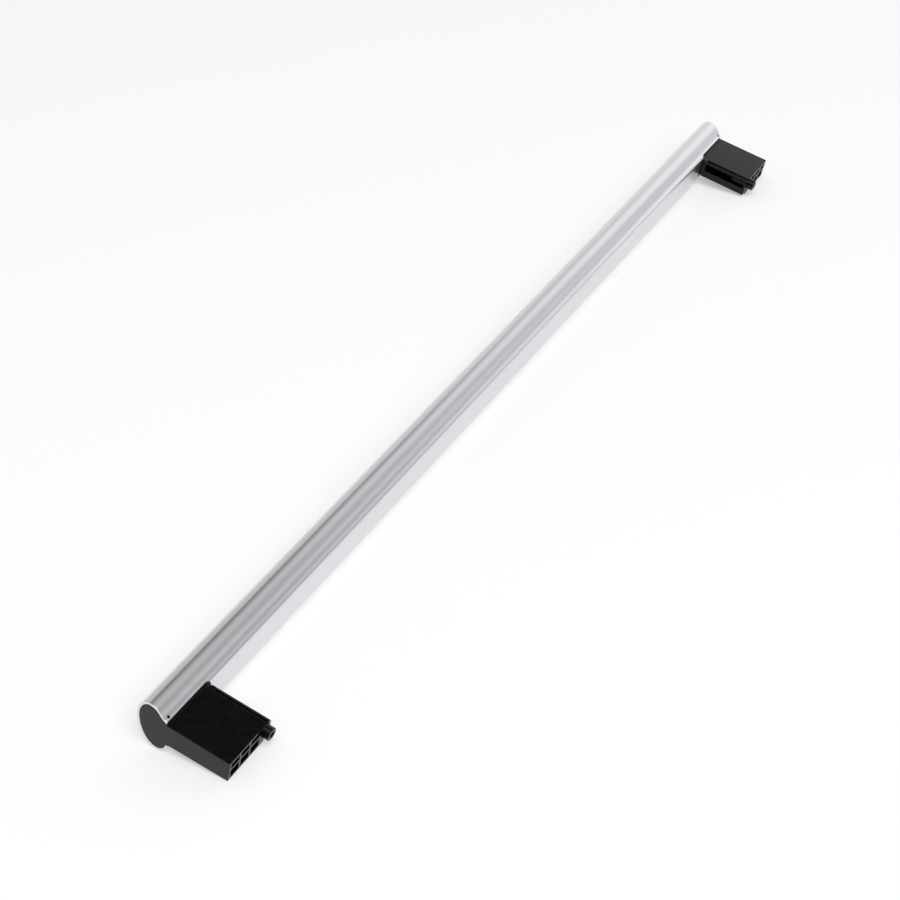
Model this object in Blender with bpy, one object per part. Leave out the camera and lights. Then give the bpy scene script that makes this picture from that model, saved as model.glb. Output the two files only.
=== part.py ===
"""Oven door handle: a hollow satin aluminium grip bar on two moulded black plastic end brackets.

Units are metres and +Z is up, as the handle sits on a closed door. X runs along the bar, +Y points at the
door, and both brackets seat on the door's face at y = 0. The origin is at mid-length on that face, level
with the screw bosses. The right bracket is the one at +X, seen from in front of the oven.
"""

import math

import bmesh
import bpy
from mathutils import Matrix, Vector

# Grip bar, an extrusion. Heights of its section are taken from the brackets' top face.
BAR_LENGTH = 0.545
BAR_WALL = 0.0012
STAND_OFF = 0.0293  # from the door's face to the back wall of the bar
GRIP_DEPTH = 0.01595  # from the back wall to the front of the bar
FRONT_DROP = 0.002  # where the bar is widest, below the top face
CREST_RISE = 0.00745
CREST_SHARE = 0.627  # where the crest stands, as a share of the depth counted from the back wall
CREST_REACH_SHARE = 0.326  # how far the crest runs on before the hollow flank turns down
FLANK_REACH_SHARE = 0.163  # how far the hollow flank levels out before the lip
LIP_RISE = 0.00215
LIP_RADIUS = 0.002
LIP_SLOPE = math.radians(14)
BACK_DROP = 0.0124  # lower end of the flat back wall
HEEL_DROP = 0.0187
HEEL_SHARE = 0.3825  # where the lowest point stands, as a share of the depth counted from the back wall
BELLY_FULLNESS = 1.86  # exponent of the lower front quarter, where 2 is an ellipse

# Milled opening at each end of the bar, which lets the bracket's arm out
NOTCH_DEPTH = 0.0014  # into the back wall, a little more than its thickness
NOTCH_CORNER = 0.003  # the web of the rail follows it at the fit gap

# Staking hole that locks the bar on the plug, near each end of the lip
STAKE_RADIUS = 0.00065
STAKE_FROM_END = 0.0023
STAKE_FROM_BACK = 0.00255
STAKE_DEPTH = 0.0024
STAKE_LEAN = math.radians(12)

# Bracket: plug inside the bar
FIT_GAP = 0.0003
PLUG_LENGTH = 0.032
PLUG_WALL = 0.0020
PLUG_END_WALL = 0.0025
ROOT_OVERLAP = 0.0010

# Bracket: hollow arm from the bar to the door
ARM_WIDTH = 0.0250
ARM_THICKNESS_BAR = 0.0122
ARM_THICKNESS_DOOR = 0.0113
ARM_SKIN = 0.0013
ARM_RIB = 0.0011
ARM_CELLS = 3
CELL_WIDTH = 0.0058
CELL_UPPER_HEIGHT = 0.0030
CELL_START = 0.0035  # solid stretch behind the bar

# Bracket: inner rail beside the arm, across a slot that the top plate's rounded shoulder narrows
SLOT_WIDTH = 0.0020
SHOULDER_REACH = 0.0010
SHOULDER_ROUND = 0.0003
SHOULDER_THICKNESS = 0.0012
RAIL_THICKNESS = 0.0018
RAIL_TOP_DROP = 0.00045
RAIL_SLOT_ROUND = 0.00025  # upper edge towards the slot
RAIL_OUTER_ROUND = 0.0015  # upper edge away from the slot
RAIL_HEIGHT = 0.0096
RAIL_FLOOR = 0.0015
RAIL_LOWER_ROUND = 0.00035
RAIL_CORNER = 0.0010  # lower corner at the door
WEB_SETBACK = 0.0008  # the web's outer side behind the rail's
WEB_STRAIGHT = 0.0012  # straight stretch of the web behind its rounded corner
WINDOW_OUTER_DROP = 0.0015  # top of the window through the rail, below the top face
WINDOW_SLOT_DROP = 0.0023  # the same at the slot, because the window's top slopes
WINDOW_FLOOR_DROP = 0.0058
WINDOW_FRONT = 0.0030  # from the bar's back wall to the window
WINDOW_END_WALL = 0.0012  # from the window to the door

# Bracket: screw boss that locates in the door
BOSS_RADIUS = 0.0030
BOSS_DROP = 0.0036  # boss axis below the top face
BOSS_INSET = 0.0005  # boss axis from the arm's inner side, towards the end
BOSS_PROUD = 0.0037
BOSS_ROOT = 0.0095  # how far the boss runs into the arm
BOSS_CHAMFER = 0.0004
BORE_RADIUS = 0.0017
BORE_DEPTH = 0.0120

# Fineness and cutting margins
CURVE_STEPS = 16
LIP_STEPS = 6
EDGE_STEPS = 4
ROUND_SEGMENTS = 32
MARGIN = 0.004
CORE_TRIM = 0.9999  # share of the full distance that a point of a moved outline must keep

CREST_INSET = CREST_SHARE * GRIP_DEPTH
CREST_REACH = CREST_REACH_SHARE * GRIP_DEPTH
FLANK_REACH = FLANK_REACH_SHARE * GRIP_DEPTH
HEEL_INSET = HEEL_SHARE * GRIP_DEPTH
BACK_Y = -STAND_OFF
TOP_Z = BOSS_DROP
RAIL_INNER = ARM_WIDTH + SLOT_WIDTH
RAIL_OUTER = RAIL_INNER + RAIL_THICKNESS
RAIL_TOP = TOP_Z - RAIL_TOP_DROP
RAIL_BOTTOM = RAIL_TOP - RAIL_HEIGHT
# The centre of the corner of the bar's notch, from the bar's end
CORNER_X = RAIL_OUTER - WEB_SETBACK + FIT_GAP - NOTCH_CORNER
CORNER_Y = BACK_Y - NOTCH_DEPTH + NOTCH_CORNER
SIDES = {"right": 1, "left": -1}


def clear_scene():
    """Empties the scene, so that the script gives the same model in any file."""
    for obj in list(bpy.data.objects):
        bpy.data.objects.remove(obj, do_unlink=True)


def make_material(name, colour, roughness, metallic):
    """Returns a Principled material."""
    material = bpy.data.materials.new(name)
    material.use_nodes = True
    shader = material.node_tree.nodes["Principled BSDF"]
    shader.inputs["Base Color"].default_value = (*colour, 1.0)
    shader.inputs["Roughness"].default_value = roughness
    shader.inputs["Metallic"].default_value = metallic
    return material


def ellipse_arc(centre, reach, start, end, steps, fullness=2.0):
    """Points of an elliptic arc in (y, z), angles in radians, without its first point."""
    points = []
    for i in range(1, steps + 1):
        angle = start + (end - start) * i / steps
        c, s = math.cos(angle), math.sin(angle)
        points.append(
            (
                centre[0] + reach[0] * math.copysign(abs(c) ** (2 / fullness), c),
                centre[1] + reach[1] * math.copysign(abs(s) ** (2 / fullness), s),
            )
        )
    return points


def cubic(p0, p1, p2, p3, steps):
    """Points of a cubic curve in (y, z), without its first point."""
    points = []
    for i in range(1, steps + 1):
        t = i / steps
        weights = ((1 - t) ** 3, 3 * t * (1 - t) ** 2, 3 * t * t * (1 - t), t**3)
        points.append(tuple(sum(w * p[k] for w, p in zip(weights, (p0, p1, p2, p3))) for k in (0, 1)))
    return points


def bar_outline():
    """Outer section of the bar as (y, z), from the front over the crest, down the back and round the heel."""
    quarter = math.pi / 2
    front_z = TOP_Z - FRONT_DROP
    crest = (BACK_Y - CREST_INSET, TOP_Z + CREST_RISE)
    lip_centre = (BACK_Y - LIP_RADIUS, TOP_Z + LIP_RISE - LIP_RADIUS)
    lip_angle = quarter - LIP_SLOPE
    lip_start = (
        lip_centre[0] + LIP_RADIUS * math.cos(lip_angle),
        lip_centre[1] + LIP_RADIUS * math.sin(lip_angle),
    )
    flank_handle = (
        lip_start[0] - FLANK_REACH * math.cos(LIP_SLOPE),
        lip_start[1] + FLANK_REACH * math.sin(LIP_SLOPE),
    )
    heel_centre = (BACK_Y - HEEL_INSET, TOP_Z - BACK_DROP)
    belly_centre = (BACK_Y - HEEL_INSET, front_z)
    points = ellipse_arc(
        (crest[0], front_z),
        (GRIP_DEPTH - CREST_INSET, CREST_RISE + FRONT_DROP),
        2 * quarter,
        quarter,
        CURVE_STEPS,
    )
    points += cubic(crest, (crest[0] + CREST_REACH, crest[1]), flank_handle, lip_start, CURVE_STEPS)
    points += ellipse_arc(lip_centre, (LIP_RADIUS, LIP_RADIUS), lip_angle, 0, LIP_STEPS)
    points.append((BACK_Y, heel_centre[1]))
    points += ellipse_arc(heel_centre, (HEEL_INSET, HEEL_DROP - BACK_DROP), 0, -quarter, CURVE_STEPS)
    points += ellipse_arc(
        belly_centre,
        (GRIP_DEPTH - HEEL_INSET, HEEL_DROP - FRONT_DROP),
        -quarter,
        -2 * quarter,
        CURVE_STEPS,
        BELLY_FULLNESS,
    )
    return points


def inset(outline, distance):
    """The outline moved inwards by a distance. It runs clockwise seen from +X with +Y to the right."""
    moved = []
    for i, point in enumerate(outline):
        before = Vector(outline[i - 1])
        here = Vector(point)
        after = Vector(outline[(i + 1) % len(outline)])
        first, second = (here - before).normalized(), (after - here).normalized()
        along = (first + second).normalized()
        inward = Vector((along.y, -along.x))
        stretch = 1 / max(along.dot(first), 0.5)
        moved.append(tuple(here + inward * distance * stretch))
    return moved


def clearance(point, outline):
    """Distance from a point to the nearest edge of an outline."""
    here = Vector(point)
    nearest = math.inf
    for i, corner in enumerate(outline):
        start = Vector(outline[i - 1])
        edge = Vector(corner) - start
        share = min(max((here - start).dot(edge) / edge.length_squared, 0), 1)
        nearest = min(nearest, (here - start - edge * share).length)
    return nearest


def core_outline(outline, distance):
    """The outline moved inwards by a large distance, without points that cross over in tight corners."""
    return [p for p in inset(outline, distance) if clearance(p, outline) > distance * CORE_TRIM]


def mesh_object(name, vertices, faces):
    """An object from vertices and faces, with its faces turned outwards."""
    mesh = bpy.data.meshes.new(name)
    mesh.from_pydata(vertices, [], faces)
    shell = bmesh.new()
    shell.from_mesh(mesh)
    bmesh.ops.recalc_face_normals(shell, faces=shell.faces)
    shell.to_mesh(mesh)
    shell.free()
    obj = bpy.data.objects.new(name, mesh)
    bpy.context.scene.collection.objects.link(obj)
    return obj


def prism(name, outline, start, end, place):
    """A solid between two copies of an outline. place(a, b, c) gives a world point from outline and depth."""
    count = len(outline)
    vertices = [place(a, b, c) for c in (start, end) for a, b in outline]
    faces = [tuple(range(count)), tuple(range(count, 2 * count))]
    faces += [(i, (i + 1) % count, count + (i + 1) % count, count + i) for i in range(count)]
    return mesh_object(name, vertices, faces)


def tube(name, outer, inner, start, end):
    """A hollow extrusion along X, open at both ends. The outlines have the same number of points."""
    count = len(outer)
    vertices = [(x, y, z) for x in (start, end) for outline in (outer, inner) for y, z in outline]
    faces = []
    for i in range(count):
        j = (i + 1) % count
        faces.append((i, j, count + j, count + i))
        faces.append((2 * count + i, 2 * count + j, 3 * count + j, 3 * count + i))
        faces.append((i, j, 2 * count + j, 2 * count + i))
        faces.append((count + i, count + j, 3 * count + j, 3 * count + i))
    return mesh_object(name, vertices, faces)


def rod(name, centre, direction, radius, length, chamfer=0.0):
    """A round bar from a centre point along a direction, with an optional chamfer at its far end."""
    shell = bmesh.new()
    bmesh.ops.create_cone(
        shell, cap_ends=True, segments=ROUND_SEGMENTS, radius1=radius, radius2=radius, depth=length
    )
    if chamfer:
        rim = [e for e in shell.edges if all(v.co.z > 0 for v in e.verts)]
        bmesh.ops.bevel(shell, geom=rim, offset=chamfer, segments=1, profile=0.5, affect="EDGES")
    axis = Vector(direction).normalized()
    turn = axis.to_track_quat("Z", "Y").to_matrix().to_4x4()
    bmesh.ops.transform(shell, matrix=turn, verts=shell.verts)
    bmesh.ops.translate(shell, verts=shell.verts, vec=Vector(centre) + axis * length / 2)
    mesh = bpy.data.meshes.new(name)
    shell.to_mesh(mesh)
    shell.free()
    obj = bpy.data.objects.new(name, mesh)
    bpy.context.scene.collection.objects.link(obj)
    return obj


def combine(target, helper, operation):
    """Joins a helper to a target or cuts it out, and leaves the helper hidden."""
    helper.hide_render = True
    helper.display_type = "WIRE"
    helper.parent = target
    modifier = target.modifiers.new(helper.name, "BOOLEAN")
    modifier.operation = operation
    modifier.solver = "EXACT"
    modifier.object = helper


def finish_object(obj, material):
    """Gives an object its material, smooth round faces and crisp edges."""
    obj.data.materials.append(material)
    obj.data.shade_smooth()
    obj.data.set_sharp_from_angle(angle=math.radians(30))


def arm_bottom(y):
    """Height of the arm's underside, which rises a little towards the door."""
    share = (y - BACK_Y) / STAND_OFF
    return TOP_Z - ARM_THICKNESS_BAR + (ARM_THICKNESS_BAR - ARM_THICKNESS_DOOR) * share


def from_end(side, inset_x):
    """World X of a point that lies a distance in from the end of the bar."""
    return side * (BAR_LENGTH / 2 - inset_x)


def stake_cutter(name, side):
    """Punch that pierces the lip and marks the plug below it."""
    lean = (0, -math.sin(STAKE_LEAN), -math.cos(STAKE_LEAN))
    start_z = TOP_Z + LIP_RISE + MARGIN
    back = (start_z - TOP_Z - LIP_RISE) * math.tan(STAKE_LEAN)
    start = (from_end(side, STAKE_FROM_END), BACK_Y - STAKE_FROM_BACK + back, start_z)
    return rod(name, start, lean, STAKE_RADIUS, MARGIN + STAKE_DEPTH)


def notch_corner(radius):
    """Rounded inner corner of the bar's opening in plan, as (inset from the end, y)."""
    angles = [math.pi / 2 * i / LIP_STEPS for i in range(LIP_STEPS + 1)]
    return [(CORNER_X + radius * math.sin(a), CORNER_Y - radius * math.cos(a)) for a in angles]


def notch_cutter(name, side):
    """Milling path behind the bar: the arm's opening, with a rounded inner corner."""
    corner = notch_corner(NOTCH_CORNER)
    behind = BACK_Y + MARGIN
    outline = [(-MARGIN, corner[0][1])] + corner + [(corner[-1][0], behind), (-MARGIN, behind)]
    bottom = TOP_Z - ARM_THICKNESS_BAR - FIT_GAP
    top = TOP_Z + LIP_RISE + MARGIN
    return prism(name, outline, bottom, top, lambda s, y, z: (from_end(side, s), y, z))


def build_bar(outline, material):
    """Grip bar: one hollow extrusion with its end openings and staking holes."""
    half = BAR_LENGTH / 2
    bar = tube("handle_bar", outline, inset(outline, BAR_WALL), -half, half)
    for name, side in SIDES.items():
        combine(bar, notch_cutter("notch_cutter_" + name, side), "DIFFERENCE")
        combine(bar, stake_cutter("stake_cutter_" + name, side), "DIFFERENCE")
    finish_object(bar, material)
    return bar


def arm_profile(front, door, top_inset=0.0, bottom_inset=0.0):
    """Side outline of the arm between two depths, as (y, z)."""
    return [
        (front, TOP_Z - top_inset),
        (door, TOP_Z - top_inset),
        (door, arm_bottom(door) + bottom_inset),
        (front, arm_bottom(front) + bottom_inset),
    ]


def rail_outline():
    """Section of the inner rail and the floor of its slot, as (inset from the end, z)."""
    root = ARM_WIDTH - ROOT_OVERLAP
    quarter = math.pi / 2
    points = [(root, RAIL_BOTTOM)]
    low = RAIL_LOWER_ROUND
    outer = RAIL_OUTER_ROUND
    slot = RAIL_SLOT_ROUND
    for size, x, z, start, steps in (
        (low, RAIL_OUTER - low, RAIL_BOTTOM + low, -quarter, EDGE_STEPS),
        (outer, RAIL_OUTER - outer, RAIL_TOP - outer, 0, LIP_STEPS),
        (slot, RAIL_INNER + slot, RAIL_TOP - slot, quarter, EDGE_STEPS),
    ):
        points.append((x + size * math.cos(start), z + size * math.sin(start)))
        points += ellipse_arc((x, z), (size, size), start, start + quarter, steps)
    points += [(RAIL_INNER, RAIL_BOTTOM + RAIL_FLOOR), (root, RAIL_BOTTOM + RAIL_FLOOR)]
    return points


def shoulder_outline():
    """Section of the top plate's rounded shoulder over the slot, as (inset from the end, z)."""
    root = ARM_WIDTH - ROOT_OVERLAP
    low = TOP_Z - SHOULDER_THICKNESS
    edge = ARM_WIDTH + SHOULDER_REACH
    size = (SHOULDER_ROUND, SHOULDER_ROUND)
    arc = ellipse_arc((edge - SHOULDER_ROUND, TOP_Z - SHOULDER_ROUND), size, 0, math.pi / 2, EDGE_STEPS)
    return [(root, low), (edge, low), (edge, TOP_Z - SHOULDER_ROUND)] + arc + [(root, TOP_Z)]


def web_outline():
    """Plan of the web that closes the slot behind the bar, rounded as the bar's opening, as (inset, y)."""
    corner = notch_corner(NOTCH_CORNER - FIT_GAP)
    root = ARM_WIDTH - ROOT_OVERLAP
    behind = CORNER_Y + WEB_STRAIGHT
    return [(root, corner[0][1])] + corner + [(corner[-1][0], behind), (root, behind)]


def window_outline():
    """Section of the window through the rail, as (inset from the end, z)."""
    inner = ARM_WIDTH + SLOT_WIDTH / 2
    outer = RAIL_OUTER + MARGIN
    slot_top = TOP_Z - WINDOW_SLOT_DROP
    outer_top = TOP_Z - WINDOW_OUTER_DROP
    bottom = TOP_Z - WINDOW_FLOOR_DROP
    return [
        (inner, bottom),
        (outer, bottom),
        (outer, outer_top),
        (RAIL_OUTER, outer_top),
        (RAIL_INNER, slot_top),
        (inner, slot_top),
    ]


def rail_corner_outline():
    """Side outline of what the rounded lower corner of the rail leaves out at the door, as (y, z)."""
    centre = (-RAIL_CORNER, RAIL_BOTTOM + RAIL_CORNER)
    arc = ellipse_arc(centre, (RAIL_CORNER, RAIL_CORNER), 0, -math.pi / 2, LIP_STEPS)
    low = RAIL_BOTTOM - RAIL_CORNER
    return [(0, centre[1])] + arc + [(-RAIL_CORNER, low), (RAIL_CORNER, low), (RAIL_CORNER, centre[1])]


def build_bracket(name, side, outline, material):
    """One moulded bracket: plug, ribbed arm, inner rail and screw boss, all one piece."""

    def place_side(y, z, s):
        return (from_end(side, s), y, z)

    def place_front(s, z, y):
        return (from_end(side, s), y, z)

    def place_plan(s, y, z):
        return (from_end(side, s), y, z)

    plug_outline = inset(outline, BAR_WALL + FIT_GAP)
    hollow = core_outline(outline, BAR_WALL + FIT_GAP + PLUG_WALL)
    bracket = prism("bracket_" + name, plug_outline, 0, PLUG_LENGTH, place_side)

    plug_back = BACK_Y - BAR_WALL - FIT_GAP
    arm = prism("arm_" + name, arm_profile(plug_back - ROOT_OVERLAP, 0), 0, ARM_WIDTH, place_side)
    combine(bracket, arm, "UNION")
    shoulder = prism("shoulder_" + name, shoulder_outline(), CORNER_Y, 0, place_front)
    combine(bracket, shoulder, "UNION")
    web = prism("web_" + name, web_outline(), RAIL_BOTTOM, TOP_Z, place_plan)
    combine(bracket, web, "UNION")
    rail = prism("rail_" + name, rail_outline(), CORNER_Y, 0, place_front)
    combine(bracket, rail, "UNION")
    window = prism(
        "window_" + name, window_outline(), BACK_Y + WINDOW_FRONT, -WINDOW_END_WALL, place_front
    )
    combine(bracket, window, "DIFFERENCE")
    corner = prism(
        "rail_corner_" + name, rail_corner_outline(), ARM_WIDTH, RAIL_OUTER + MARGIN, place_side
    )
    combine(bracket, corner, "DIFFERENCE")

    boss_x = from_end(side, ARM_WIDTH - BOSS_INSET)
    boss_length = BOSS_ROOT + BOSS_PROUD
    boss = rod("boss_" + name, (boss_x, -BOSS_ROOT, 0), (0, 1, 0), BOSS_RADIUS, boss_length, BOSS_CHAMFER)
    combine(bracket, boss, "UNION")

    core = prism("plug_core_" + name, hollow, PLUG_END_WALL, PLUG_LENGTH + MARGIN, place_side)
    combine(bracket, core, "DIFFERENCE")
    cell_front = BACK_Y + CELL_START
    pitch = CELL_WIDTH + ARM_RIB
    shelf_top = ARM_SKIN + CELL_UPPER_HEIGHT
    for i in range(ARM_CELLS):
        start = ARM_SKIN + i * pitch
        upper_profile = [
            (cell_front, TOP_Z - ARM_SKIN),
            (MARGIN, TOP_Z - ARM_SKIN),
            (MARGIN, TOP_Z - shelf_top),
            (cell_front, TOP_Z - shelf_top),
        ]
        lower_profile = arm_profile(cell_front, MARGIN, shelf_top + ARM_RIB, ARM_SKIN)
        for level, profile in (("upper", upper_profile), ("lower", lower_profile)):
            cell = prism(f"cell_{level}_{i}_{name}", profile, start, start + CELL_WIDTH, place_side)
            combine(bracket, cell, "DIFFERENCE")
    bore_start = BOSS_PROUD + MARGIN
    bore = rod("bore_" + name, (boss_x, bore_start, 0), (0, -1, 0), BORE_RADIUS, MARGIN + BORE_DEPTH)
    combine(bracket, bore, "DIFFERENCE")
    combine(bracket, stake_cutter("stake_mark_" + name, side), "DIFFERENCE")
    finish_object(bracket, material)
    return bracket


def mirror_piece(piece, name):
    """The mirror image of a finished piece across the middle of the bar."""
    finished = piece.evaluated_get(bpy.context.evaluated_depsgraph_get())
    mesh = bpy.data.meshes.new_from_object(finished)
    mesh.transform(Matrix.Diagonal((-1, 1, 1, 1)))
    mesh.flip_normals()
    mirrored = bpy.data.objects.new(name, mesh)
    bpy.context.scene.collection.objects.link(mirrored)
    return mirrored


def main():
    """Builds the bar and its two brackets, which are mirror images of each other."""
    clear_scene()
    aluminium = make_material("satin_aluminium", (0.80, 0.81, 0.83), 0.32, 1.0)
    plastic = make_material("black_plastic", (0.022, 0.022, 0.024), 0.38, 0.0)
    outline = bar_outline()
    build_bar(outline, aluminium)
    right = build_bracket("right", SIDES["right"], outline, plastic)
    mirror_piece(right, "bracket_left")


main()
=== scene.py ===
"""Looks of an oven door handle: a hollow satin aluminium grip bar on two moulded black plastic end brackets.

Metres, in the row frame: X runs along the bar, +Y points at the door and +Z is up on a closed door. In
the picture the handle lies on a white table with its arms down, so the table and the lamps are tilted to
it about X.
"""

from __future__ import annotations

import logging
import math
from collections.abc import Callable
from dataclasses import dataclass
from enum import Enum

import bmesh
import bpy
from mathutils import Matrix, Vector


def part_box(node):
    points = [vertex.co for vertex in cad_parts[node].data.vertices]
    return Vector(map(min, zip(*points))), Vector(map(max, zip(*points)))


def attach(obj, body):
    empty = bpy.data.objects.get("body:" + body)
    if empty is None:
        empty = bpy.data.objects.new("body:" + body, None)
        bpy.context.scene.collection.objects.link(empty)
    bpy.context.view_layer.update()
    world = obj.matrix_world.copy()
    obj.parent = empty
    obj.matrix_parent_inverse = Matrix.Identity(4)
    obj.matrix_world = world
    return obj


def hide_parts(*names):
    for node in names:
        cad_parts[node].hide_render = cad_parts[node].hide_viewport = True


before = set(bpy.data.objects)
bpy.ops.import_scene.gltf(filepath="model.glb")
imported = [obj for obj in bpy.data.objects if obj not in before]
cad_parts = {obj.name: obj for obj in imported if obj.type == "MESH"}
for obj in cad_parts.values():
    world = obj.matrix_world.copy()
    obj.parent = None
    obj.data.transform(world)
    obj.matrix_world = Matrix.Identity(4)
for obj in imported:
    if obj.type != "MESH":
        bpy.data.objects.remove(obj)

log = logging.getLogger("oven_door_handle")

Colour = tuple[float, float, float]
Point = tuple[float, float]
Outline = list[Point]
Place = Callable[[float, float, float], tuple[float, float, float]]

MM = 0.001
QUARTER_TURN = math.pi / 2
CREASE = math.radians(35)  # bend above which an edge stays sharp or is rounded
LEAST_MITRE = 0.5  # keeps a moved outline from running far out at a sharp corner
KEPT_SHARE = 0.9999  # share of its full distance that a point of a hollow's outline keeps
ROUND_SEGMENTS = 3
ROD_SIDES = 64


class Slot(Enum):
    """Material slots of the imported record."""

    ALUMINIUM = "satin_aluminium"
    PLASTIC = "black_plastic"


class Side(Enum):
    """The two ends of the bar. The value is the sign of X there."""

    RIGHT = 1
    LEFT = -1

    @property
    def label(self) -> str:
        """The side's name in lower case."""
        return self.name.lower()


class Axis(Enum):
    """Directions along which the room's light changes. The value is the coordinate's index."""

    X = 0
    Y = 1


def elliptic_arc(
    centre: Point, reach: Point, start: float, end: float, steps: int, fullness: float = 2.0
) -> Outline:
    """Follows a quarter or more of an ellipse.

    Args:
        centre: Middle of the ellipse.
        reach: Its two half axes.
        start: Angle of the point before the first one returned, in radians.
        end: Angle of the last point.
        steps: Number of points.
        fullness: Exponent of the curve, 2 for a true ellipse and less for a leaner one.

    Returns:
        The points after the start.
    """
    points = []
    for i in range(1, steps + 1):
        angle = start + (end - start) * i / steps
        c, s = math.cos(angle), math.sin(angle)
        points.append(
            (
                centre[0] + reach[0] * math.copysign(abs(c) ** (2 / fullness), c),
                centre[1] + reach[1] * math.copysign(abs(s) ** (2 / fullness), s),
            )
        )
    return points


def cubic_curve(knots: tuple[Point, Point, Point, Point], steps: int) -> Outline:
    """Follows a cubic curve.

    Args:
        knots: Its start, two handles and end.
        steps: Number of points.

    Returns:
        The points after the start.
    """
    points = []
    for i in range(1, steps + 1):
        t = i / steps
        weights = ((1 - t) ** 3, 3 * t * (1 - t) ** 2, 3 * t * t * (1 - t), t**3)
        points.append(tuple(sum(w * p[k] for w, p in zip(weights, knots)) for k in (0, 1)))
    return points


def inset(outline: Outline, distance: float) -> Outline:
    """Moves an outline inwards.

    Args:
        outline: Points of a closed outline, clockwise with its first coordinate to the right.
        distance: How far each edge moves.

    Returns:
        As many points as the outline has.
    """
    moved = []
    for i, point in enumerate(outline):
        here, before, after = Vector(point), Vector(outline[i - 1]), Vector(outline[(i + 1) % len(outline)])
        first, second = (here - before).normalized(), (after - here).normalized()
        along = (first + second).normalized()
        inward = Vector((along.y, -along.x))
        moved.append(tuple(here + inward * distance / max(along.dot(first), LEAST_MITRE)))
    return moved


def clearance(point: Point, outline: Outline) -> float:
    """Measures how near a point is to an outline.

    Args:
        point: The point.
        outline: The closed outline.

    Returns:
        Distance to the nearest edge.
    """
    here, nearest = Vector(point), math.inf
    for i, corner in enumerate(outline):
        start = Vector(outline[i - 1])
        edge = Vector(corner) - start
        share = min(max((here - start).dot(edge) / edge.length_squared, 0), 1)
        nearest = min(nearest, (here - start - edge * share).length)
    return nearest


def mesh_object(name: str, shell: bmesh.types.BMesh) -> bpy.types.Object:
    """Makes an object from a bmesh and frees the bmesh.

    Args:
        name: Name of the object.
        shell: The closed shell, in any winding.

    Returns:
        The object, linked to the scene.
    """
    bmesh.ops.recalc_face_normals(shell, faces=shell.faces)
    mesh = bpy.data.meshes.new(name)
    shell.to_mesh(mesh)
    shell.free()
    obj = bpy.data.objects.new(name, mesh)
    bpy.context.scene.collection.objects.link(obj)
    return obj


def round_edges(shell: bmesh.types.BMesh, radius: float) -> None:
    """Rounds a shell's sharp edges.

    Args:
        shell: The shell, changed in place.
        radius: Radius of the rounding.
    """
    bmesh.ops.bevel(
        shell,
        geom=[e for e in shell.edges if e.calc_face_angle(0) > CREASE],
        offset=radius,
        segments=ROUND_SEGMENTS,
        profile=0.5,
        affect="EDGES",
        clamp_overlap=True,
    )


def prism(
    name: str, outline: Outline, start: float, end: float, place: Place, edge_round: float = 0.0
) -> bpy.types.Object:
    """Extrudes an outline.

    Args:
        name: Name of the object.
        outline: Closed outline.
        start: Depth of the first face.
        end: Depth of the second face.
        place: Gives a point in the row frame from the outline's two coordinates and a depth.
        edge_round: Radius on every edge sharper than a slight bend.

    Returns:
        The solid.
    """
    shell = bmesh.new()
    rings = [[shell.verts.new(place(a, b, depth)) for a, b in outline] for depth in (start, end)]
    for ring in rings:
        shell.faces.new(ring)
    for i in range(len(outline)):
        j = (i + 1) % len(outline)
        shell.faces.new((rings[0][i], rings[0][j], rings[1][j], rings[1][i]))
    bmesh.ops.recalc_face_normals(shell, faces=shell.faces)
    if edge_round:
        round_edges(shell, edge_round)
    return mesh_object(name, shell)


def rod(
    name: str, start: Vector, end: Vector, radius: float, end_round: float = 0.0
) -> bpy.types.Object:
    """Makes a round bar between two points.

    Args:
        name: Name of the object.
        start: Middle of its first face.
        end: Middle of its second face.
        radius: Its radius.
        end_round: Radius on the rim of the second face.

    Returns:
        The solid.
    """
    axis = end - start
    shell = bmesh.new()
    bmesh.ops.create_cone(
        shell, cap_ends=True, segments=ROD_SIDES, radius1=radius, radius2=radius, depth=axis.length
    )
    if end_round:
        rim = [e for e in shell.edges if all(v.co.z > 0 for v in e.verts)]
        bmesh.ops.bevel(
            shell, geom=rim, offset=end_round, segments=ROUND_SEGMENTS, profile=0.5, affect="EDGES"
        )
    turn = axis.to_track_quat("Z", "Y").to_matrix().to_4x4()
    bmesh.ops.transform(shell, matrix=Matrix.Translation((start + end) / 2) @ turn, verts=shell.verts)
    return mesh_object(name, shell)


class Workpiece:
    """A mesh object that other solids are joined to and cut from."""

    def __init__(self, obj: bpy.types.Object) -> None:
        """Starts from a first solid."""
        self.obj = obj
        self.helpers: list[bpy.types.Object] = []

    def _combine(self, helper: bpy.types.Object, operation: str) -> None:
        """Adds a Boolean.

        Args:
            helper: The other solid.
            operation: UNION or DIFFERENCE.
        """
        modifier = self.obj.modifiers.new(helper.name, "BOOLEAN")
        modifier.operation = operation
        modifier.solver = "EXACT"
        modifier.object = helper
        self.helpers.append(helper)

    def join(self, helper: bpy.types.Object) -> None:
        """Joins a solid to the piece."""
        self._combine(helper, "UNION")

    def cut(self, helper: bpy.types.Object) -> None:
        """Cuts a solid out of the piece."""
        self._combine(helper, "DIFFERENCE")

    def finish(self) -> bpy.types.Object:
        """Applies all joins and cuts.

        Returns:
            The finished piece, smooth across its small bends.
        """
        graph = bpy.context.evaluated_depsgraph_get()
        mesh = bpy.data.meshes.new_from_object(self.obj.evaluated_get(graph))
        self.obj.modifiers.clear()
        self.obj.data = mesh
        for helper in self.helpers:
            bpy.data.objects.remove(helper, do_unlink=True)
        self.helpers.clear()
        mesh.shade_smooth()
        mesh.set_sharp_from_angle(angle=CREASE)
        normals = self.obj.modifiers.new("even_normals", "WEIGHTED_NORMAL")
        normals.keep_sharp = True
        return self.obj


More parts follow.
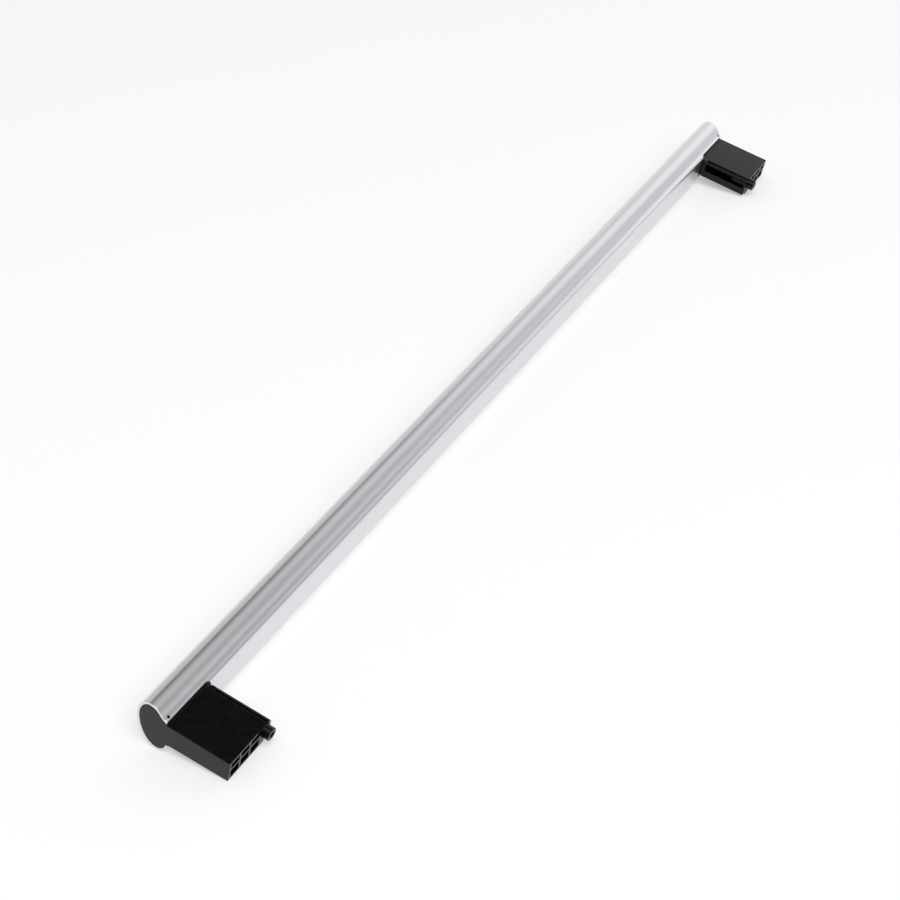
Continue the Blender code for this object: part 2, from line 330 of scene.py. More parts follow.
class NodeDraft:
    """Short ways to add and join nodes in one node tree."""

    def __init__(self, tree: bpy.types.NodeTree) -> None:
        """Works on a tree."""
        self.tree = tree

    def add(
        self, kind: str, inputs: dict[str | int, object] | None = None, **settings: object
    ) -> bpy.types.Node:
        """Adds a node.

        Args:
            kind: Blender's name of the node type.
            inputs: Values or output sockets by input name or index.
            settings: Values for the node's own properties.

        Returns:
            The node.
        """
        node = self.tree.nodes.new(kind)
        for name, value in settings.items():
            setattr(node, name, value)
        for name, value in (inputs or {}).items():
            if isinstance(value, bpy.types.NodeSocket):
                self.tree.links.new(value, node.inputs[name])
            else:
                node.inputs[name].default_value = value
        return node

    def math(self, operation: str, first: object, second: object = 0.0) -> bpy.types.NodeSocket:
        """Adds a Math node.

        Args:
            operation: The operation.
            first: Value or socket.
            second: Value or socket.

        Returns:
            The result's socket.
        """
        return self.add("ShaderNodeMath", {0: first, 1: second}, operation=operation).outputs[0]


class StreakGroup:
    """Node group for fine drawn-out marks: die lines on an extrusion, flow marks on a moulding."""

    name = "drawn_streaks"
    streak_detail = 3.0
    grain_detail = 2.0
    usual_low = 0.3  # most of the streaks' values lie between these two
    usual_high = 0.7

    @classmethod
    def tree(cls) -> bpy.types.NodeTree:
        """Builds the group the first time that it is asked for.

        Returns:
            The group.
        """
        found = bpy.data.node_groups.get(cls.name)
        if found:
            return found
        tree = bpy.data.node_groups.new(cls.name, "ShaderNodeTree")
        for socket in ("Across", "Along", "Fineness"):
            tree.interface.new_socket(socket, in_out="INPUT", socket_type="NodeSocketFloat")
        for socket in ("Streaks", "Grain"):
            tree.interface.new_socket(socket, in_out="OUTPUT", socket_type="NodeSocketFloat")
        draft = NodeDraft(tree)
        given = draft.add("NodeGroupInput")
        where = draft.add("ShaderNodeTexCoord").outputs["Object"]
        scale = draft.add(
            "ShaderNodeCombineXYZ",
            {"X": given.outputs["Along"], "Y": given.outputs["Across"], "Z": given.outputs["Across"]},
        )
        stretched = draft.add(
            "ShaderNodeVectorMath", {0: where, 1: scale.outputs[0]}, operation="MULTIPLY"
        ).outputs[0]
        streaks = draft.add(
            "ShaderNodeTexNoise", {"Vector": stretched, "Scale": 1.0, "Detail": cls.streak_detail}
        )
        grain = draft.add(
            "ShaderNodeTexNoise",
            {"Vector": where, "Scale": given.outputs["Fineness"], "Detail": cls.grain_detail},
        )
        result = draft.add("NodeGroupOutput")
        tree.links.new(streaks.outputs["Fac"], result.inputs["Streaks"])
        tree.links.new(grain.outputs["Fac"], result.inputs["Grain"])
        return tree

    @classmethod
    def place(cls, draft: NodeDraft, across: float, along: float, fineness: float) -> bpy.types.Node:
        """Places the group in a material.

        Args:
            draft: The material's nodes.
            across: Marks per metre across their length.
            along: Marks per metre along their length, which is X.
            fineness: Grains per metre.

        Returns:
            The group's node.
        """
        return draft.add(
            "ShaderNodeGroup", {"Across": across, "Along": along, "Fineness": fineness}, node_tree=cls.tree()
        )


def new_material(name: str) -> tuple[bpy.types.Material, NodeDraft, bpy.types.Node]:
    """Makes a material.

    Args:
        name: Its name.

    Returns:
        The material, its nodes, and its Principled shader.
    """
    material = bpy.data.materials.new(name)
    material.use_nodes = True
    return material, NodeDraft(material.node_tree), material.node_tree.nodes["Principled BSDF"]


@dataclass(frozen=True)
class MarkedFinish:
    """A finish whose roughness and relief follow fine drawn marks. Marks are counted per metre."""

    slot: Slot
    colour: Colour
    roughness: float
    roughness_spread: float
    marks_across: float
    marks_along: float
    grains: float
    relief: float
    relief_depth: float = 0.02 * MM

    def _start(self) -> tuple[bpy.types.Material, NodeDraft, bpy.types.Node, bpy.types.Node]:
        """Makes the material, with its colour and with marks that change its roughness.

        Returns:
            The material, its nodes, its Principled shader and the marks.
        """
        material, draft, shader = new_material(self.slot.value)
        marks = StreakGroup.place(draft, self.marks_across, self.marks_along, self.grains)
        spread = {
            "Value": marks.outputs["Streaks"],
            "From Min": StreakGroup.usual_low,
            "From Max": StreakGroup.usual_high,
            "To Min": self.roughness - self.roughness_spread,
            "To Max": self.roughness + self.roughness_spread,
        }
        rough = draft.add("ShaderNodeMapRange", spread).outputs[0]
        draft.tree.links.new(rough, shader.inputs["Roughness"])
        shader.inputs["Base Color"].default_value = (*self.colour, 1.0)
        return material, draft, shader, marks

    def _raise(self, draft: NodeDraft, shader: bpy.types.Node, height: bpy.types.NodeSocket) -> None:
        """Lets a height stand out from the surface.

        Args:
            draft: The material's nodes.
            shader: Its shader.
            height: The height, from 0 to 1.
        """
        relief = {"Height": height, "Strength": self.relief, "Distance": self.relief_depth}
        bump = draft.add("ShaderNodeBump", relief)
        draft.tree.links.new(bump.outputs[0], shader.inputs["Normal"])


@dataclass(frozen=True)
class SatinAluminium(MarkedFinish):
    """Clear anodised aluminium with a fine matt etch and faint die lines along the bar."""

    slot: Slot = Slot.ALUMINIUM
    colour: Colour = (0.715, 0.725, 0.745)
    roughness: float = 0.31
    roughness_spread: float = 0.025
    marks_across: float = 1600.0
    marks_along: float = 6.0
    grains: float = 9000.0
    relief: float = 0.03
    grain_share: float = 0.5

    def material(self) -> bpy.types.Material:
        """Builds the material.

        Returns:
            The material, whose relief holds both the die lines and the etch's grain.
        """
        material, draft, shader, marks = self._start()
        etch = draft.math("MULTIPLY", marks.outputs["Grain"], self.grain_share)
        self._raise(draft, shader, draft.math("ADD", marks.outputs["Streaks"], etch))
        shader.inputs["Metallic"].default_value = 1.0
        return material


@dataclass(frozen=True)
class BlackPlastic(MarkedFinish):
    """Black glass-filled plastic from a lightly polished mould."""

    slot: Slot = Slot.PLASTIC
    colour: Colour = (0.0016, 0.0016, 0.0017)
    roughness: float = 0.25
    roughness_spread: float = 0.03
    marks_across: float = 260.0
    marks_along: float = 260.0
    grains: float = 5200.0
    relief: float = 0.12
    reflectance: float = 0.26

    def material(self) -> bpy.types.Material:
        """Builds the material.

        Returns:
            The material, whose relief is the mould's grain.
        """
        material, draft, shader, marks = self._start()
        self._raise(draft, shader, marks.outputs["Grain"])
        shader.inputs["Specular IOR Level"].default_value = self.reflectance
        return material


@dataclass(frozen=True)
class BarSection:
    """Section of the extrusion in the (y, z) plane. Heights count from the brackets' top face."""

    top: float = 3.6 * MM
    back: float = -29.3 * MM
    depth: float = 15.95 * MM
    front_drop: float = 2.0 * MM
    crest_rise: float = 7.45 * MM
    crest_share: float = 0.627
    crest_reach_share: float = 0.326
    flank_reach_share: float = 0.163
    lip_rise: float = 2.15 * MM
    lip_radius: float = 2.0 * MM
    lip_slope: float = math.radians(14)
    back_drop: float = 12.4 * MM
    heel_drop: float = 18.7 * MM
    heel_share: float = 0.3825
    belly_fullness: float = 1.86
    curve_steps: int = 34
    lip_steps: int = 12

    @property
    def crest(self) -> Point:
        """The highest point."""
        return (self.back - self.crest_share * self.depth, self.top + self.crest_rise)

    @property
    def heel_reach(self) -> float:
        """How far the lowest point is from the back wall."""
        return self.heel_share * self.depth

    def outline(self) -> Outline:
        """Draws the section.

        Returns:
            The outer outline, from the front over the crest, down the back wall and round the heel.
        """
        front_z = self.top - self.front_drop
        angle = QUARTER_TURN - self.lip_slope
        lip_centre = (self.back - self.lip_radius, self.top + self.lip_rise - self.lip_radius)
        lip_start = (
            lip_centre[0] + self.lip_radius * math.cos(angle),
            lip_centre[1] + self.lip_radius * math.sin(angle),
        )
        reach = self.flank_reach_share * self.depth
        flank_handle = (
            lip_start[0] - reach * math.cos(self.lip_slope),
            lip_start[1] + reach * math.sin(self.lip_slope),
        )
        crest_handle = (self.crest[0] + self.crest_reach_share * self.depth, self.crest[1])
        heel_z = self.top - self.back_drop
        points = elliptic_arc(
            (self.crest[0], front_z),
            ((1 - self.crest_share) * self.depth, self.crest_rise + self.front_drop),
            2 * QUARTER_TURN,
            QUARTER_TURN,
            self.curve_steps,
        )
        points += cubic_curve((self.crest, crest_handle, flank_handle, lip_start), self.curve_steps)
        points += elliptic_arc(lip_centre, (self.lip_radius, self.lip_radius), angle, 0, self.lip_steps)
        points.append((self.back, heel_z))
        points += elliptic_arc(
            (self.back - self.heel_reach, heel_z),
            (self.heel_reach, self.heel_drop - self.back_drop),
            0,
            -QUARTER_TURN,
            self.curve_steps,
        )
        points += elliptic_arc(
            (self.back - self.heel_reach, front_z),
            (self.depth - self.heel_reach, self.heel_drop - self.front_drop),
            -QUARTER_TURN,
            -2 * QUARTER_TURN,
            self.curve_steps,
            self.belly_fullness,
        )
        return points


@dataclass(frozen=True)
class ArmPlan:
    """Widths of a bracket's arm, counted from the bar's end, and its thicknesses."""

    width: float = 25.0 * MM
    slot_width: float = 2.0 * MM
    rail_thickness: float = 1.8 * MM
    web_setback: float = 0.8 * MM
    thickness_bar: float = 12.2 * MM
    thickness_door: float = 11.3 * MM

    @property
    def rail_inner(self) -> float:
        """Where the rail's side towards the slot is."""
        return self.width + self.slot_width

    @property
    def rail_outer(self) -> float:
        """Where the rail's far side is."""
        return self.rail_inner + self.rail_thickness

    @property
    def web_outer(self) -> float:
        """Where the web's far side is."""
        return self.rail_outer - self.web_setback


@dataclass(frozen=True)
class StakePunch:
    """The punched mark that locks the bar on a plug, through the lip near the bar's end."""

    radius: float = 0.65 * MM
    from_end: float = 2.3 * MM
    from_back: float = 2.55 * MM
    depth: float = 2.4 * MM
    lean: float = math.radians(12)
    run_up: float = 4.0 * MM

    def solid(self, name: str, side: Side, half_length: float, section: BarSection) -> bpy.types.Object:
        """Makes the punch as a cutter.

        Args:
            name: Name of the object.
            side: End of the bar.
            half_length: Half the bar's length.
            section: The bar's section.

        Returns:
            The cutter.
        """
        x = side.value * (half_length - self.from_end)
        surface = Vector((x, section.back - self.from_back, section.top + section.lip_rise))
        along = Vector((0, -math.sin(self.lean), -math.cos(self.lean)))
        return rod(name, surface - along * self.run_up, surface + along * self.depth, self.radius)


@dataclass(frozen=True)
class Opening:
    """Plan of the opening milled into the bar's back, with the rounded corner that a web follows."""

    section: BarSection
    web_outer: float
    depth: float = 1.4 * MM
    corner: float = 3.0 * MM
    fit: float = 0.3 * MM
    steps: int = 12

    @property
    def centre(self) -> Point:
        """Centre of the corner, as distance from the bar's end and y."""
        return (self.web_outer + self.fit - self.corner, self.section.back - self.depth + self.corner)

    def arc(self, gap: float = 0.0) -> Outline:
        """Follows the corner.

        Args:
            gap: How far the arc moves inwards.

        Returns:
            The corner's arc, as distances from the bar's end and y.
        """
        radius = self.corner - gap
        angles = [QUARTER_TURN * i / self.steps for i in range(self.steps + 1)]
        s, y = self.centre
        return [(s + radius * math.sin(a), y - radius * math.cos(a)) for a in angles]


@dataclass
class GripBar:
    """The bar: one hollow extrusion with an opening milled into its back at each end."""

    section: BarSection
    arm: ArmPlan
    opening: Opening
    length: float
    wall: float = 1.2 * MM
    rim_round: float = 0.15 * MM
    rim_knee: float = 0.3  # share of the rim's rounding at its middle station
    punch: StakePunch = StakePunch()
    margin: float = 4.0 * MM
    node: str = "handle_bar"

    def _tube(self) -> bpy.types.Object:
        """Makes the hollow extrusion.

        Returns:
            The tube, with lightly rounded rims at its sawn ends.
        """
        outer = self.section.outline()
        inner = inset(outer, self.wall)
        half, small = self.length / 2, self.rim_round
        knee = small * self.rim_knee
        stations = (
            (half, inset(outer, small), inset(inner, -small)),
            (half - knee, inset(outer, knee), inset(inner, -knee)),
            (half - small, outer, inner),
        )
        shell = bmesh.new()
        rings = []
        for sign in (1, -1):
            for x, out, into in stations if sign > 0 else reversed(stations):
                rings.append(
                    [[shell.verts.new((sign * x, y, z)) for y, z in outline] for outline in (out, into)]
                )
        count = len(outer)
        for i in range(count):
            j = (i + 1) % count
            for one, two in zip(rings, rings[1:]):
                for skin in (0, 1):
                    shell.faces.new((one[skin][i], one[skin][j], two[skin][j], two[skin][i]))
            for end in (rings[0], rings[-1]):
                shell.faces.new((end[0][i], end[0][j], end[1][j], end[1][i]))
        return mesh_object("bar_skin", shell)

    def _notch(self, side: Side) -> bpy.types.Object:
        """Makes the milling path that lets a bracket's arm out.

        Args:
            side: End of the bar.

        Returns:
            The cutter.
        """
        corner = self.opening.arc()
        behind = self.section.back + self.margin
        outline = [(-self.margin, corner[0][1]), *corner, (corner[-1][0], behind), (-self.margin, behind)]
        return prism(
            f"notch_{side.label}",
            outline,
            self.section.top - self.arm.thickness_bar - self.opening.fit,
            self.section.top + self.section.lip_rise + self.margin,
            lambda s, y, z: (side.value * (self.length / 2 - s), y, z),
        )

    def build(self, finish: bpy.types.Material) -> bpy.types.Object:
        """Builds and dresses the bar.

        Args:
            finish: Its material.

        Returns:
            The piece, riding on the frame in place of the plain bar.
        """
        work = Workpiece(self._tube())
        for side in Side:
            work.cut(self._notch(side))
            work.cut(self.punch.solid(f"punch_{side.label}", side, self.length / 2, self.section))
        return adopt(work.finish(), finish, self.node)


@dataclass
class EndBracket:
    """One moulded bracket: plug, ribbed arm, inner rail across a slot, and screw boss.

    Each solid is made for the right end of the bar. The left bracket is the finished mesh's mirror image.
    """

    side: Side
    bar: GripBar
    fit_gap: float = 0.1 * MM
    plug_length: float = 32.0 * MM
    plug_wall: float = 2.0 * MM
    plug_end_wall: float = 2.5 * MM
    root_overlap: float = 1.0 * MM
    skin: float = 1.3 * MM
    rib: float = 1.1 * MM
    cells: int = 3
    cell_width: float = 5.8 * MM
    cell_upper_height: float = 3.0 * MM
    cell_start: float = 3.5 * MM
    edge_round: float = 0.3 * MM
    shoulder_reach: float = 1.0 * MM
    shoulder_round: float = 0.3 * MM
    shoulder_thickness: float = 1.2 * MM
    shoulder_steps: int = 6
    rail_top_drop: float = 0.45 * MM
    rail_slot_round: float = 0.25 * MM
    rail_outer_round: float = 1.5 * MM
    rail_lower_round: float = 0.35 * MM
    rail_edge_round: float = 0.12 * MM
    rail_height: float = 9.6 * MM
    rail_floor: float = 1.5 * MM
    rail_corner: float = 1.0 * MM
    rail_steps: int = 8
    web_straight: float = 1.2 * MM
    web_round: float = 0.35 * MM
    window_outer_drop: float = 1.5 * MM
    window_slot_drop: float = 2.3 * MM
    window_floor_drop: float = 5.8 * MM
    window_front: float = 3.0 * MM
    window_end_wall: float = 1.2 * MM
    boss_radius: float = 3.0 * MM
    boss_inset: float = 0.5 * MM
    boss_proud: float = 3.7 * MM
    boss_root: float = 9.5 * MM
    boss_round: float = 0.4 * MM
    bore_radius: float = 1.7 * MM
    bore_depth: float = 12.0 * MM
    margin: float = 4.0 * MM

    @property
    def section(self) -> BarSection:
        """The bar's section."""
        return self.bar.section

    @property
    def arm(self) -> ArmPlan:
        """The arm's widths and thicknesses."""
        return self.bar.arm

    @property
    def node(self) -> str:
        """Name of the plain node that this piece stands for."""
        return f"bracket_{self.side.label}"

    @property
    def root(self) -> float:
        """Where the pieces beside the arm start, a little inside it."""
        return self.arm.width - self.root_overlap

    @property
    def rail_top(self) -> float:
        """Height of the rail's top."""
        return self.section.top - self.rail_top_drop

    @property
    def rail_bottom(self) -> float:
        """Height of the rail's underside."""
        return self.rail_top - self.rail_height

    @property
    def boss_x(self) -> float:
        """X of the screw boss's axis."""
        return self._x(self.arm.width - self.boss_inset)

    def _x(self, from_end: float) -> float:
        """X of a point of the right bracket that lies a distance in from the bar's end."""
        return self.bar.length / 2 - from_end

    def _along_bar(self, y: float, z: float, s: float) -> tuple[float, float, float]:
        """Places a side outline at a distance from the end."""
        return (self._x(s), y, z)

    def _to_door(self, s: float, z: float, y: float) -> tuple[float, float, float]:
        """Places a front outline at a depth."""
        return (self._x(s), y, z)

    def _upwards(self, s: float, y: float, z: float) -> tuple[float, float, float]:
        """Places a plan outline at a height."""
        return (self._x(s), y, z)

    def _solid(
        self, name: str, outline: Outline, start: float, end: float, place: Place, edge_round: float = 0.0
    ) -> bpy.types.Object:
        """Extrudes an outline under a name that also tells the side."""
        return prism(f"{name}_{self.side.label}", outline, start, end, place, edge_round)

    def _arm_bottom(self, y: float) -> float:
        """Finds the height of the arm's underside, which rises a little towards the door.

        Args:
            y: Depth.

        Returns:
            The height there.
        """
        share = (y - self.section.back) / -self.section.back
        at_bar, at_door = self.arm.thickness_bar, self.arm.thickness_door
        return self.section.top - at_bar + (at_bar - at_door) * share

    def _arm_outline(self, front: float, door: float, down: float = 0.0, up: float = 0.0) -> Outline:
        """Draws the arm from the side.

        Args:
            front: Depth where the outline starts.
            door: Depth where it ends.
            down: How much its top is lowered.
            up: How much its underside is raised.

        Returns:
            The outline, as (y, z).
        """
        top = self.section.top - down
        return [
            (front, top),
            (door, top),
            (door, self._arm_bottom(door) + up),
            (front, self._arm_bottom(front) + up),
        ]

    def _plug(self) -> bpy.types.Object:
        """The plug that fills the bar's end."""
        outline = inset(self.section.outline(), self.bar.wall + self.fit_gap)
        return self._solid("plug", outline, 0, self.plug_length, self._along_bar, self.edge_round)

    def _plug_hollow(self) -> bpy.types.Object:
        """Makes the hollow of the plug.

        Returns:
            The cutter, open at the plug's inner end.
        """
        outer = self.section.outline()
        distance = self.bar.wall + self.fit_gap + self.plug_wall
        outline = [p for p in inset(outer, distance) if clearance(p, outer) > distance * KEPT_SHARE]
        inner_end = self.plug_length + self.margin
        return self._solid("hollow", outline, self.plug_end_wall, inner_end, self._along_bar)

    def _arm(self) -> bpy.types.Object:
        """Makes the arm.

        Returns:
            The solid arm, from the plug to the door.
        """
        front = self.section.back - self.bar.wall - self.fit_gap - self.root_overlap
        outline = self._arm_outline(front, 0)
        return self._solid("arm", outline, 0, self.arm.width, self._along_bar, self.edge_round)

    def _rail_outline(self) -> Outline:
        """Draws the section of the inner rail and of the slot's floor.

        Returns:
            The outline, as distances from the bar's end and z.
        """
        top, bottom = self.rail_top, self.rail_bottom
        inner, outer = self.arm.rail_inner, self.arm.rail_outer
        low, high, slot = self.rail_lower_round, self.rail_outer_round, self.rail_slot_round
        points = [(self.root, bottom)]
        for bend, s, z, start in (
            (low, outer - low, bottom + low, -QUARTER_TURN),
            (high, outer - high, top - high, 0.0),
            (slot, inner + slot, top - slot, QUARTER_TURN),
        ):
            points.append((s + bend * math.cos(start), z + bend * math.sin(start)))
            points += elliptic_arc((s, z), (bend, bend), start, start + QUARTER_TURN, self.rail_steps)
        points += [(inner, bottom + self.rail_floor), (self.root, bottom + self.rail_floor)]
        return points

    def _rail(self) -> bpy.types.Object:
        """The inner rail, across the slot from the arm."""
        front = self.bar.opening.centre[1]
        return self._solid("rail", self._rail_outline(), front, 0, self._to_door, self.rail_edge_round)

    def _shoulder(self) -> bpy.types.Object:
        """Makes the rounded edge of the top plate.

        Returns:
            The edge, which reaches over the slot.
        """
        top, bend = self.section.top, self.shoulder_round
        edge = self.arm.width + self.shoulder_reach
        low = top - self.shoulder_thickness
        outline = [(self.root, low), (edge, low), (edge, top - bend)]
        outline += elliptic_arc((edge - bend, top - bend), (bend, bend), 0, QUARTER_TURN, self.shoulder_steps)
        outline.append((self.root, top))
        front = self.bar.opening.centre[1]
        return self._solid("shoulder", outline, front, 0, self._to_door, self.edge_round)

    def _web(self) -> bpy.types.Object:
        """Makes the web that closes the slot at the bar.

        Returns:
            The web, which follows the opening's rounded corner.
        """
        opening = self.bar.opening
        corner = opening.arc(opening.fit)
        behind = opening.centre[1] + self.web_straight
        outline = [(self.root, corner[0][1]), *corner, (corner[-1][0], behind), (self.root, behind)]
        return self._solid(
            "web", outline, self.rail_bottom, self.section.top, self._upwards, self.web_round
        )

    def _window(self) -> bpy.types.Object:
        """Makes the window through the rail.

        Returns:
            The cutter, with a sloping top.
        """
        slot = self.arm.rail_inner
        inner, outer = slot - self.arm.slot_width / 2, self.arm.rail_outer
        top = self.section.top
        outline = [
            (inner, top - self.window_floor_drop),
            (outer + self.margin, top - self.window_floor_drop),
            (outer + self.margin, top - self.window_outer_drop),
            (outer, top - self.window_outer_drop),
            (slot, top - self.window_slot_drop),
            (inner, top - self.window_slot_drop),
        ]
        front = self.section.back + self.window_front
        return self._solid("window", outline, front, -self.window_end_wall, self._to_door)

    def _rail_corner(self) -> bpy.types.Object:
        """Makes what the rounded lower corner of the rail leaves out at the door.

        Returns:
            The cutter.
        """
        bend, bottom = self.rail_corner, self.rail_bottom
        outline = [(0, bottom + bend)]
        outline += elliptic_arc((-bend, bottom + bend), (bend, bend), 0, -QUARTER_TURN, self.rail_steps)
        outline += [(-bend, bottom - bend), (bend, bottom - bend), (bend, bottom + bend)]
        far = self.arm.rail_outer + self.margin
        return self._solid("corner", outline, self.arm.width, far, self._along_bar)

    def _cells(self) -> list[bpy.types.Object]:
        """Makes the pockets that open at the arm's door end.

        Returns:
            The cutters, in two rows.
        """
        front = self.section.back + self.cell_start
        shelf_top = self.skin + self.cell_upper_height
        top = self.section.top
        upper = [
            (front, top - self.skin),
            (self.margin, top - self.skin),
            (self.margin, top - shelf_top),
            (front, top - shelf_top),
        ]
        lower = self._arm_outline(front, self.margin, shelf_top + self.rib, self.skin)
        made = []
        for i in range(self.cells):
            start = self.skin + i * (self.cell_width + self.rib)
            for level, outline in (("upper", upper), ("lower", lower)):
                name = f"cell_{level}_{i}"
                made.append(self._solid(name, outline, start, start + self.cell_width, self._along_bar))
        return made

    def _boss(self) -> bpy.types.Object:
        """Makes the screw boss.

        Returns:
            The boss, which stands past the door's face.
        """
        return rod(
            f"boss_{self.side.label}",
            Vector((self.boss_x, -self.boss_root, 0)),
            Vector((self.boss_x, self.boss_proud, 0)),
            self.boss_radius,
            self.boss_round,
        )

    def _bore(self) -> bpy.types.Object:
        """Makes the bore of the screw boss.

        Returns:
            The cutter.
        """
        return rod(
            f"bore_{self.side.label}",
            Vector((self.boss_x, self.boss_proud + self.margin, 0)),
            Vector((self.boss_x, self.boss_proud - self.bore_depth, 0)),
            self.bore_radius,
        )

    def _mark(self) -> bpy.types.Object:
        """The dent that the bar's staking punch leaves in the plug."""
        name = f"mark_{self.side.label}"
        return self.bar.punch.solid(name, Side.RIGHT, self.bar.length / 2, self.section)

    def build(self, finish: bpy.types.Material) -> bpy.types.Object:
        """Builds and dresses the bracket.

        Args:
            finish: Its material.

        Returns:
            The piece, riding on the frame in place of the plain bracket.
        """
        work = Workpiece(self._plug())
        for solid in (self._arm(), self._shoulder(), self._web(), self._rail()):
            work.join(solid)
        for solid in (self._window(), self._rail_corner()):
            work.cut(solid)
        work.join(self._boss())
        for solid in (self._plug_hollow(), *self._cells(), self._bore(), self._mark()):
            work.cut(solid)
        piece = work.finish()
        if self.side is Side.LEFT:
            piece.data.transform(Matrix.Diagonal((-1, 1, 1, 1)))
            piece.data.flip_normals()
        return adopt(piece, finish, self.node)


def adopt(obj: bpy.types.Object, finish: bpy.types.Material, node: str) -> bpy.types.Object:
    """Dresses a piece and puts it in the place of its plain node.

    Args:
        obj: The piece, in the row frame.
        finish: Its material.
        node: The plain node.

    Returns:
        The piece.
    """
    obj.name = node + "_detailed"
    obj.data.materials.clear()
    obj.data.materials.append(finish)
    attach(obj, "root")
    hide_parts(node)
    return obj


@dataclass(frozen=True)
class SoftBox:
    """A square lamp, placed in the table's frame and aimed at the handle."""

    name: str
    position: tuple[float, float, float]
    size: tuple[float, float]
    power: float


@dataclass(frozen=True)
class RoomPatch:
    """A round patch of the room: its direction, the angles where it is full and where it ends, its level."""

    direction: tuple[float, float, float]
    inner: float
    outer: float
    level: float


@dataclass(frozen=True)
class RoomSlope:
    """A slow change of the room's level: its axis, where it starts and ends, and what it adds in all."""

    axis: Axis
    start: float
    end: float
    gain: float


@dataclass
class Studio:
    """White table, lamps, room light and camera."""

    section: BarSection
    arm: ArmPlan
    table_size: float = 6.0
    table_colour: float = 0.92
    table_roughness: float = 0.9
    table_reflectance: float = 0.1
    table_glow: float = 0.4
    room_level: float = 0.38
    window: RoomPatch = RoomPatch((-0.88, 0.15, 0.45), math.radians(8), math.radians(29), 0.84)
    slopes: tuple[RoomSlope, ...] = (
        RoomSlope(Axis.X, -0.56, -0.90, 0.54),
        RoomSlope(Axis.Y, 0.0, -0.8, 0.30),
        RoomSlope(Axis.X, 0.0, 0.4, -0.30),
    )
    flag: RoomPatch = RoomPatch((-0.50, -0.28, 0.82), math.radians(6), math.radians(18), 0.05)
    lamps: tuple[SoftBox, ...] = (SoftBox("door_side_box", (1.4, 1.8, 3.4), (3.5, 3.5), 160.0),)
    camera_place: tuple[float, float, float] = (0.65615, 0.20823, 0.60778)
    camera_aim: tuple[float, float, float] = (0.06119, -0.02271, 0.00193)
    camera_up_tilt: float = math.radians(11.2)
    camera_lens: float = 74.45
    camera_near: float = 10.0 * MM
    sensor: float = 36.0

    @property
    def arm_edge(self) -> float:
        """Height of the arms' lower edges at the door."""
        return self.section.top - self.arm.thickness_door

    def tilt(self) -> float:
        """Angle between the table and the row's horizontal, from the bar's heel and the arms' lower edges."""
        return max(math.atan2(self.arm_edge - z, -y) for y, z in self.section.outline())

    def _table_frame(self) -> Matrix:
        """Matrix from the table's frame, with its origin at the arms' lower door edges, to the row frame."""
        return Matrix.Translation((0, 0, self.arm_edge)) @ Matrix.Rotation(self.tilt(), 4, "X")

    def _table(self) -> None:
        """Builds the white table, which lets a view from below through."""
        material, draft, shader = new_material("white_table")
        shader.inputs["Base Color"].default_value = (self.table_colour,) * 3 + (1.0,)
        shader.inputs["Roughness"].default_value = self.table_roughness
        shader.inputs["Specular IOR Level"].default_value = self.table_reflectance
        path = draft.add("ShaderNodeLightPath")
        seen = draft.math("MAXIMUM", path.outputs["Is Camera Ray"], path.outputs["Is Glossy Ray"])
        seen = draft.math("MAXIMUM", seen, path.outputs["Is Transmission Ray"])
        white = draft.add("ShaderNodeEmission", {"Color": (1, 1, 1, 1), "Strength": 1.0})
        share = draft.math("MULTIPLY", seen, self.table_glow)
        top = draft.add("ShaderNodeMixShader", {0: share, 1: shader.outputs[0], 2: white.outputs[0]})
        clear = draft.add("ShaderNodeBsdfTransparent")
        below = draft.add("ShaderNodeNewGeometry").outputs["Backfacing"]
        mixed = draft.add("ShaderNodeMixShader", {0: below, 1: top.outputs[0], 2: clear.outputs[0]})
        output = material.node_tree.nodes["Material Output"]
        draft.tree.links.new(mixed.outputs[0], output.inputs["Surface"])
        shell = bmesh.new()
        bmesh.ops.create_grid(shell, x_segments=1, y_segments=1, size=self.table_size / 2)
        table = mesh_object("white_table", shell)
        table.matrix_world = self._table_frame()
        table.data.materials.append(material)

    def _lamp(self, box: SoftBox) -> None:
        """Hangs one soft box.

        Args:
            box: The box.
        """
        data = bpy.data.lights.new(box.name, "AREA")
        data.shape = "RECTANGLE"
        data.size, data.size_y = box.size
        data.energy = box.power
        lamp = bpy.data.objects.new(box.name, data)
        bpy.context.scene.collection.objects.link(lamp)
        place = self._table_frame() @ Vector(box.position)
        lamp.location = place
        lamp.rotation_mode = "QUATERNION"
        lamp.rotation_quaternion = (-place).to_track_quat("-Z", "Y")

    def _patch(
        self, draft: NodeDraft, direction: bpy.types.NodeSocket, patch: RoomPatch, outside: float
    ) -> bpy.types.NodeSocket:
        """Adds a soft round patch of the room.

        Args:
            draft: The world's node tree.
            direction: The direction looked at.
            patch: Where the patch is and its level.
            outside: Level away from it.

        Returns:
            The level in each direction.
        """
        middle = Vector(patch.direction).normalized()
        toward = draft.add("ShaderNodeVectorMath", {0: direction, 1: middle}, operation="DOT_PRODUCT")
        reach = {
            "Value": toward.outputs["Value"],
            "From Min": math.cos(patch.outer),
            "From Max": math.cos(patch.inner),
            "To Min": outside,
            "To Max": patch.level,
        }
        return draft.add("ShaderNodeMapRange", reach, interpolation_type="SMOOTHSTEP").outputs[0]

    def _slope(
        self, draft: NodeDraft, split: bpy.types.Node, slope: RoomSlope
    ) -> bpy.types.NodeSocket:
        """Adds a slow change of the room's level.

        Args:
            draft: The world's node tree.
            split: The node that gives the coordinates of the direction looked at.
            slope: Where the change is and how large.

        Returns:
            What it adds in each direction.
        """
        span = {
            "Value": split.outputs[slope.axis.value],
            "From Min": slope.start,
            "From Max": slope.end,
            "To Min": 0.0,
            "To Max": slope.gain,
        }
        return draft.add("ShaderNodeMapRange", span).outputs[0]

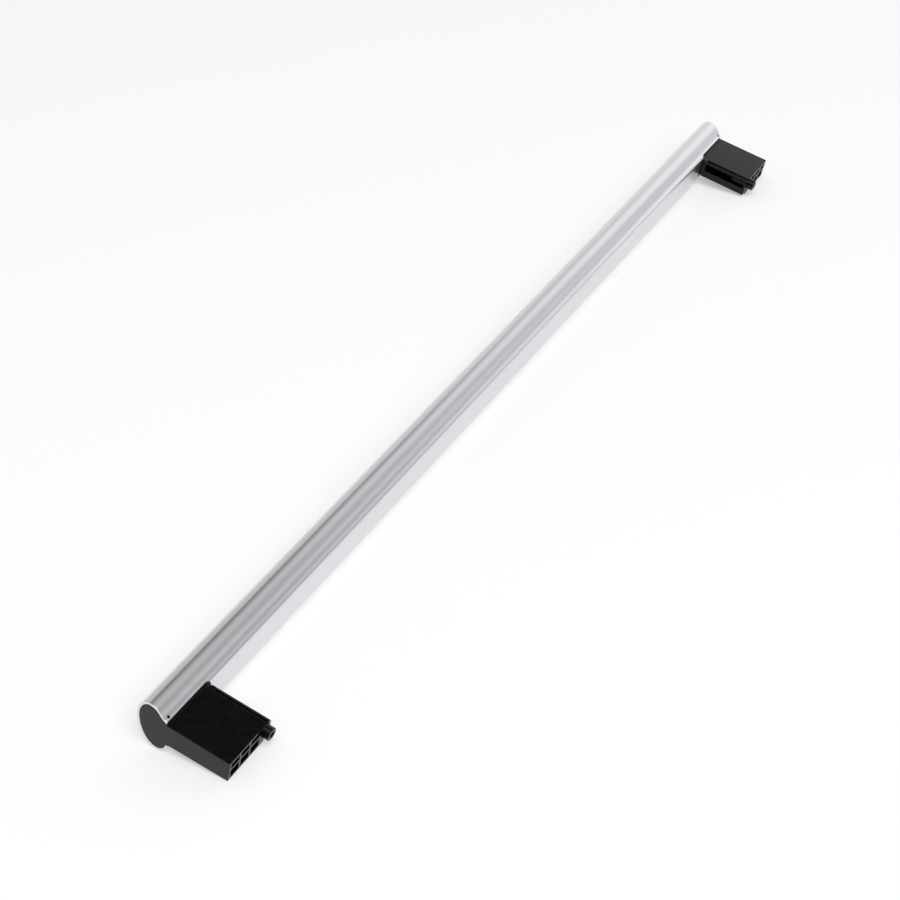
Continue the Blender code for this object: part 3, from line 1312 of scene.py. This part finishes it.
    def _room(self) -> None:
        """Fills the room with soft light, a window past the bar's far end, a dark flag, and camera white."""
        world = bpy.data.worlds.new("studio_room")
        world.use_nodes = True
        bpy.context.scene.world = world
        draft = NodeDraft(world.node_tree)
        direction = draft.add("ShaderNodeTexCoord").outputs["Generated"]
        split = draft.add("ShaderNodeSeparateXYZ", {0: direction})
        level = self._patch(draft, direction, self.window, self.room_level)
        for slope in self.slopes:
            level = draft.math("ADD", level, self._slope(draft, split, slope))
        level = draft.math("MULTIPLY", level, self._patch(draft, direction, self.flag, 1.0))
        light = world.node_tree.nodes["Background"]
        light.inputs["Color"].default_value = (1, 1, 1, 1)
        draft.tree.links.new(level, light.inputs["Strength"])
        white = draft.add("ShaderNodeBackground", {"Color": (1, 1, 1, 1), "Strength": 1.0})
        path = draft.add("ShaderNodeLightPath")
        mixed = draft.add(
            "ShaderNodeMixShader",
            {0: path.outputs["Is Camera Ray"], 1: light.outputs[0], 2: white.outputs[0]},
        )
        draft.tree.links.new(mixed.outputs[0], world.node_tree.nodes["World Output"].inputs["Surface"])

    def _camera(self) -> None:
        """Puts the camera where the photograph was taken from."""
        data = bpy.data.cameras.new("photo_camera")
        data.lens = self.camera_lens
        data.sensor_width = self.sensor
        data.clip_start = self.camera_near
        camera = bpy.data.objects.new("photo_camera", data)
        bpy.context.scene.collection.objects.link(camera)
        place = Vector(self.camera_place)
        back = (place - Vector(self.camera_aim)).normalized()
        up = Vector((0, -math.sin(self.camera_up_tilt), math.cos(self.camera_up_tilt)))
        right = up.cross(back).normalized()
        axes = Matrix((right, back.cross(right), back)).transposed().to_4x4()
        camera.matrix_world = Matrix.Translation(place) @ axes
        bpy.context.scene.camera = camera

    def build(self) -> None:
        """Builds the whole studio."""
        bpy.context.scene.view_settings.view_transform = "Standard"
        self._table()
        for lamp in self.lamps:
            self._lamp(lamp)
        self._room()
        self._camera()


def main() -> None:
    """Builds the handle and the studio, and reports each piece."""
    logging.basicConfig(level=logging.INFO, format="%(message)s")
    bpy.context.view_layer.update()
    bar_low, bar_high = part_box("handle_bar")
    section, arm = BarSection(), ArmPlan()
    aluminium = SatinAluminium().material()
    plastic = BlackPlastic().material()
    bar = GripBar(section, arm, Opening(section, arm.web_outer), bar_high.x - bar_low.x)
    log.info("built %s", bar.build(aluminium).name)
    for side in Side:
        log.info("built %s", EndBracket(side, bar).build(plastic).name)
    Studio(section, arm).build()


if __name__ == "__main__":
    main()
